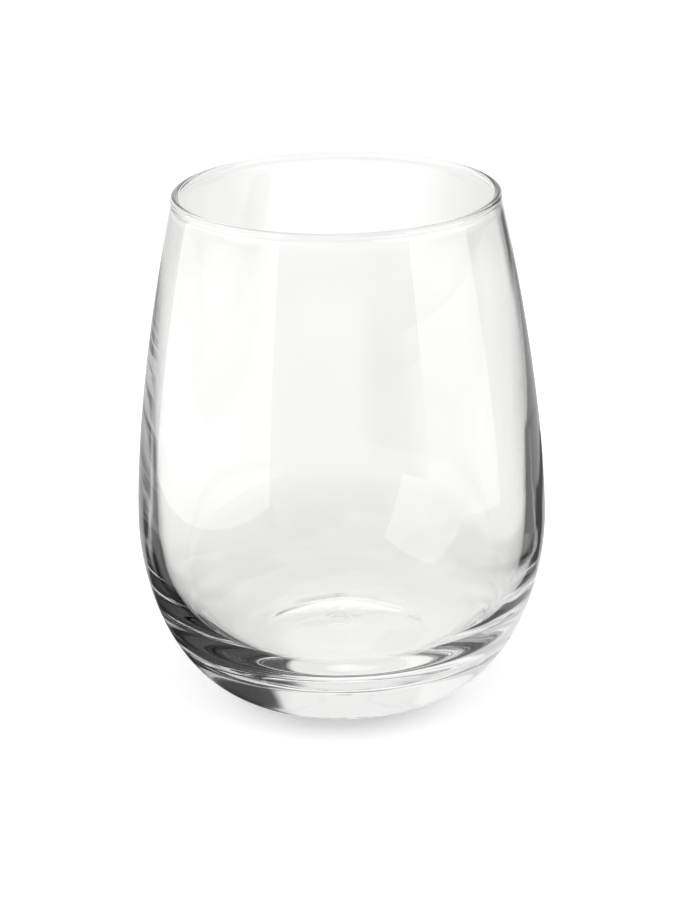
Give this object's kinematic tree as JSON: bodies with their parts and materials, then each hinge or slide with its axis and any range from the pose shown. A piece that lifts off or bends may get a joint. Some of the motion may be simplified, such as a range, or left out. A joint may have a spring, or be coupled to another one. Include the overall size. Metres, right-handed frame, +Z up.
{
  "type": "stemless wine glass",
  "caption": "Stemless wine glass in clear glass: round-bellied bowl that draws in to a fire-polished bead rim, on a heavy base with a hollowed underside.",
  "frame": {"origin": "centre of the standing ring, in the plane of the table", "axes": "+Z up along the axis of the bowl; X and Y are equal, as the glass is round"},
  "size_m": [0.0864, 0.0864, 0.1075],
  "materials": {
    "glass": "clear soda-lime glass, fire-polished"
  },
  "bodies": {
    "root": {"glass": "glass"}
  },
  "joints": []
}
